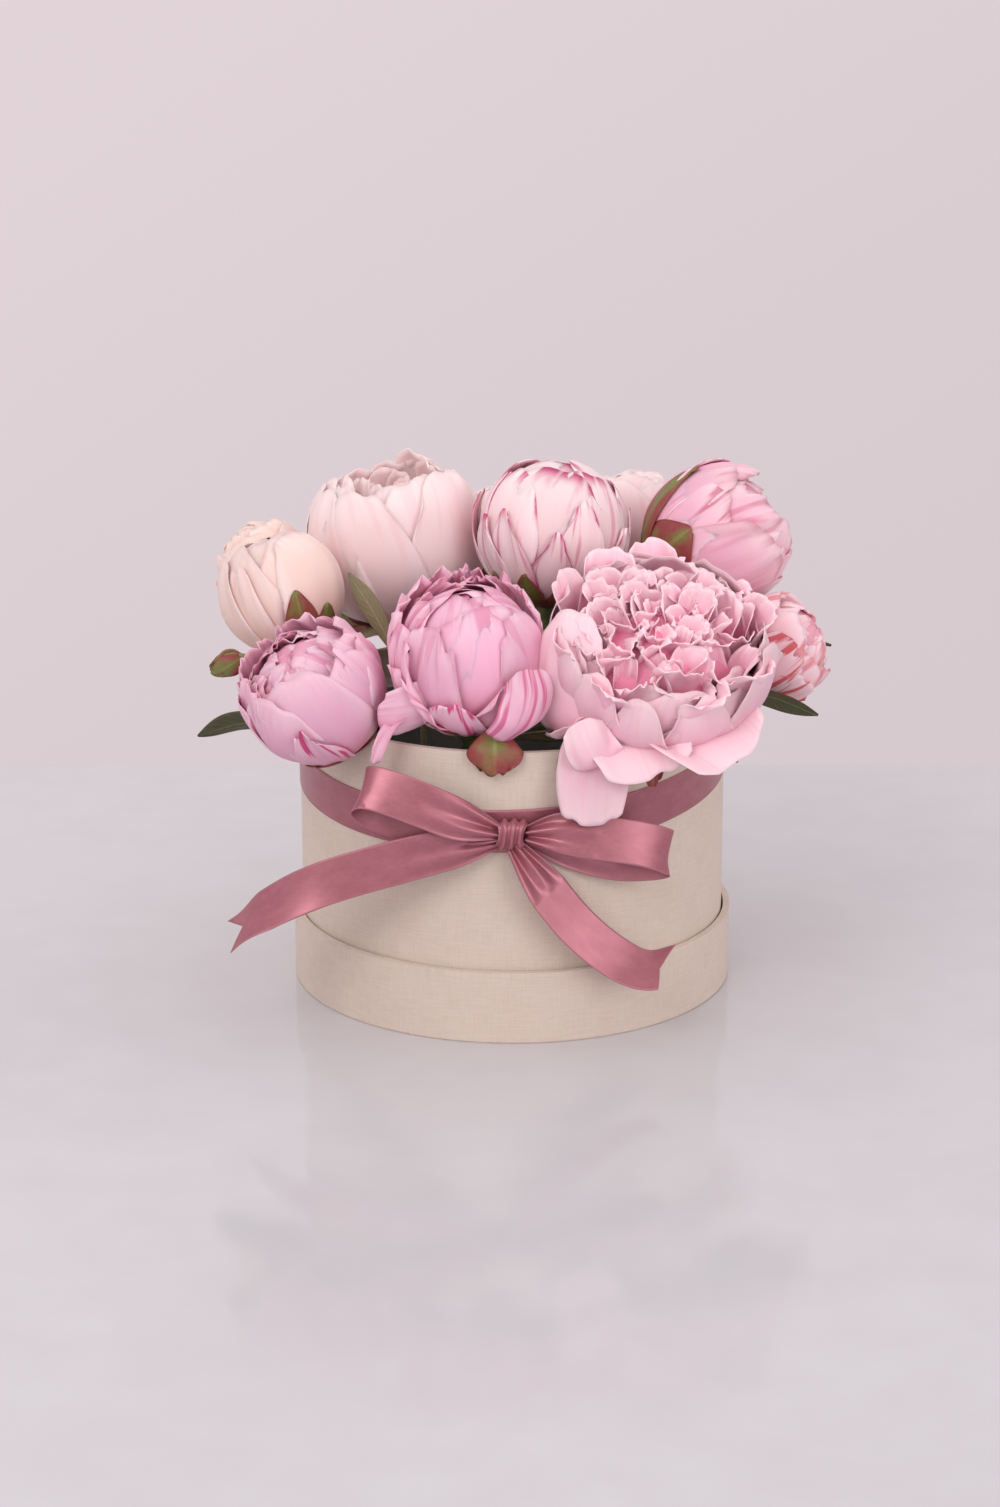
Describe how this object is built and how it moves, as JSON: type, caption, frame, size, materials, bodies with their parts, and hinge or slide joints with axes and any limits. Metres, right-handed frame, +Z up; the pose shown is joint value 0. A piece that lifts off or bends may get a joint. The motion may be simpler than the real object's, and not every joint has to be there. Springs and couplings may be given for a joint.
{
  "type": "flower box",
  "caption": "Round cloth-covered flower box standing in its upturned lid, tied with a satin ribbon bow and filled with peonies and leaves set in foam inside a lift-out liner.",
  "frame": {"origin": "centre of the lid's underside, on the table and on the axis of the box", "axes": "+Z up along the axis of the box, -Y towards the bow, +X to the right of the bow"},
  "size_m": [0.3071, 0.2589, 0.2403],
  "materials": {
    "linen_cloth": "woven, matt",
    "grey_board": "raw",
    "lining_paper": "uncoated",
    "clear_liner": "thin moulded",
    "wet_foam": "fine open cell",
    "satin_ribbon": "satin",
    "green_stem": "smooth",
    "green_leaf": "satin",
    "pink_petal": "soft",
    "blush_petal": "soft",
    "cream_petal": "soft",
    "streaked_petal": "soft"
  },
  "bodies": {
    "lid": {"lid_lining": "lining_paper", "lid_panel": "grey_board", "lid_panel_cover": "linen_cloth", "lid_rim": "grey_board", "lid_rim_cover": "linen_cloth"},
    "box": {"bow_knot": "satin_ribbon", "bow_loop_left": "satin_ribbon", "bow_loop_right": "satin_ribbon", "box_base": "grey_board", "box_base_paper": "lining_paper", "box_cover": "linen_cloth", "box_lining": "lining_paper", "box_wall": "grey_board", "ribbon_band": "satin_ribbon", "ribbon_tail_left": "satin_ribbon", "ribbon_tail_right": "satin_ribbon"},
    "insert": {"bloom_back_centre": "blush_petal", "bloom_back_right": "blush_petal", "bloom_front_centre": "pink_petal", "bloom_front_left": "pink_petal", "bloom_front_right": "pink_petal", "bloom_left": "cream_petal", "bloom_left_back": "cream_petal", "bloom_rear_left": "pink_petal", "bloom_rear_right": "blush_petal", "bloom_right": "streaked_petal", "bloom_top_centre": "streaked_petal", "bloom_top_left": "blush_petal", "bloom_top_right": "pink_petal", "floral_foam": "wet_foam", "leaf_centre": "green_leaf", "leaf_front_right": "green_leaf", "leaf_front_rim": "green_leaf", "leaf_left": "green_leaf", "leaf_rear_left": "green_leaf", "leaf_rear_right": "green_leaf", "leaf_right_lower": "green_leaf", "leaf_right_upper": "green_leaf", "side_bud": "green_leaf", "stem_back_centre": "green_stem", "stem_back_right": "green_stem", "stem_front_centre": "green_stem", "stem_front_left": "green_stem", "stem_front_right": "green_stem", "stem_left": "green_stem", "stem_left_back": "green_stem", "stem_rear_left": "green_stem", "stem_rear_right": "green_stem", "stem_right": "green_stem", "stem_top_centre": "green_stem", "stem_top_left": "green_stem", "stem_top_right": "green_stem", "waterproof_liner": "clear_liner"}
  },
  "joints": [
    {"name": "box_lift", "type": "slide", "parent": "lid", "child": "box", "axis": [0, 0, 1], "range_m": [0, 0.045]},
    {"name": "insert_lift", "type": "slide", "parent": "box", "child": "insert", "axis": [0, 0, 1], "range_m": [0, 0.14]}
  ]
}
